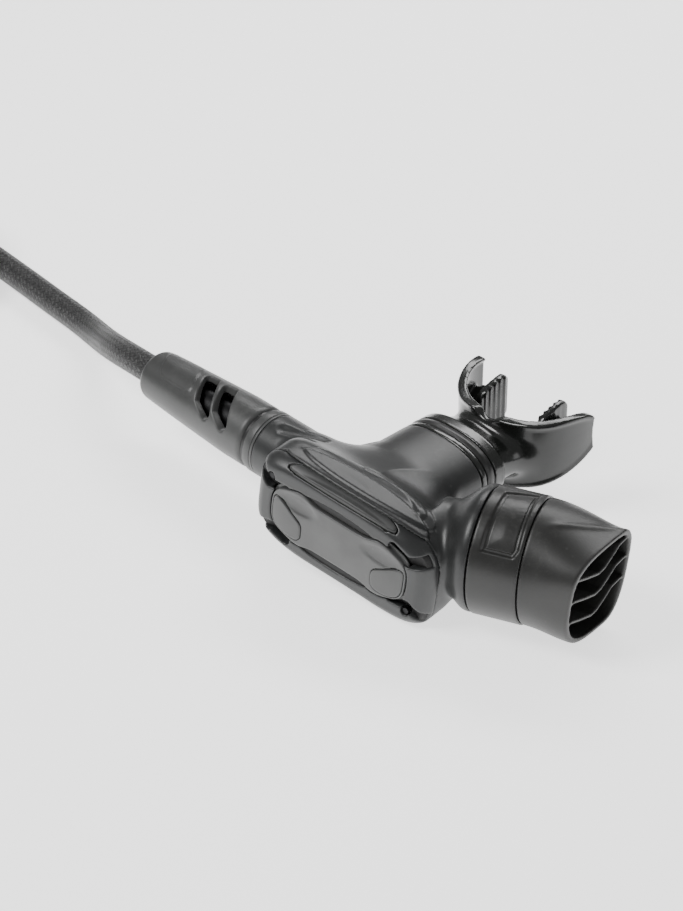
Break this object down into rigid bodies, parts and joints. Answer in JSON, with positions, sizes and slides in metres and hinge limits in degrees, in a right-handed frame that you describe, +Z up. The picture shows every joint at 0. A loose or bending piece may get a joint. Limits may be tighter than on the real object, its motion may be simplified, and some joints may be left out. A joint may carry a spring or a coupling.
{
  "type": "scuba regulator second stage",
  "caption": "Compact breathing regulator second stage with a side exhaust, front purge button, flanged mouthpiece and a swivelling braided hose that ends in a threaded fitting.",
  "frame": {"origin": "on the plane the housing rests on, straight below the point where the hose axis meets the mouth axis", "axes": "+X along the hose axis towards the exhaust, +Y back along the mouth axis to the diver, +Z up"},
  "size_m": [0.4593, 0.1852, 0.049],
  "materials": {
    "housing": "satin moulded technopolymer with fine grain",
    "cover_grey": "satin moulded plastic",
    "button_grey": "satin metallic grey plastic",
    "trim": "soft touch rubber",
    "sleeve_grey": "satin moulded rubber",
    "collar_grey": "satin moulded plastic",
    "exhaust_rubber": "matt soft rubber",
    "silicone": "glossy black silicone",
    "black_rubber": "satin black rubber",
    "braid": "braided nylon over rubber",
    "brass": "machined, chromed inside",
    "chrome": "polished chromed brass",
    "steel": "stainless, brushed",
    "white_plastic": "natural acetal"
  },
  "bodies": {
    "housing": {"body_shell": "housing", "front_cover": "cover_grey", "cover_screws": "steel", "top_trim": "trim", "rear_web": "housing", "purge_spring": "steel", "diaphragm": "black_rubber", "diaphragm_ring": "housing", "valve_barrel": "brass", "barrel_orings": "black_rubber", "valve_seat": "brass", "poppet_spring": "steel", "spring_stop": "brass", "lever_pin": "steel", "bypass_tube": "housing", "neck_ring": "collar_grey", "swivel_collar": "collar_grey", "inlet_fitting": "chrome", "swivel_washer": "black_rubber", "exhaust_seat": "housing", "exhaust_flap": "silicone", "exhaust_collar": "exhaust_rubber", "collar_badge": "trim", "exhaust_outlet": "exhaust_rubber", "mouthpiece": "silicone", "mouthpiece_tie": "black_rubber"},
    "purge": {"purge_button": "button_grey", "button_caps": "cover_grey"},
    "plate": {"diaphragm_plate": "white_plastic"},
    "lever": {"demand_lever": "steel"},
    "poppet_body": {"poppet": "white_plastic", "poppet_seal": "black_rubber"},
    "hose": {"swivel_nut": "chrome", "swivel_balls": "steel", "hose_ferrule": "steel", "hose_end": "braid", "hose_protector": "sleeve_grey", "hose_run": "braid", "hose_coil": "braid", "hose_tail": "braid", "far_ferrule": "steel", "far_nut": "chrome", "thread_fitting": "chrome", "thread_oring": "black_rubber"}
  },
  "joints": [
    {"name": "button_press", "type": "slide", "parent": "housing", "child": "purge", "axis": [-0.1305, 0.9914, 0], "range_m": [0, 0.002], "stiffness_N_per_m": 400, "deforming": ["purge_spring"]},
    {"name": "plate_press", "type": "slide", "parent": "housing", "child": "plate", "axis": [-0.1305, 0.9914, 0], "range_m": [0, 0.002], "deforming": ["diaphragm"]},
    {"name": "lever_turn", "type": "hinge", "parent": "housing", "child": "lever", "pos_m": [0.01, -0.008, 0.025], "axis": [0, 0, -1], "range_deg": [0, 8.2]},
    {"name": "poppet_lift", "type": "slide", "parent": "housing", "child": "poppet_body", "axis": [1, 0, 0], "range_m": [0, 0.00076], "deforming": ["poppet_spring"]},
    {"name": "hose_swivel", "type": "hinge", "parent": "housing", "child": "hose", "pos_m": [-0.058, 0, 0.025], "axis": [1, 0, 0], "continuous": true}
  ],
  "couplings": [
    {"joint": "plate_press", "follows": "button_press", "ratio": 1},
    {"joint": "lever_turn", "follows": "button_press", "rad_per_m": 70.8},
    {"joint": "poppet_lift", "follows": "button_press", "ratio": 0.375}
  ]
}
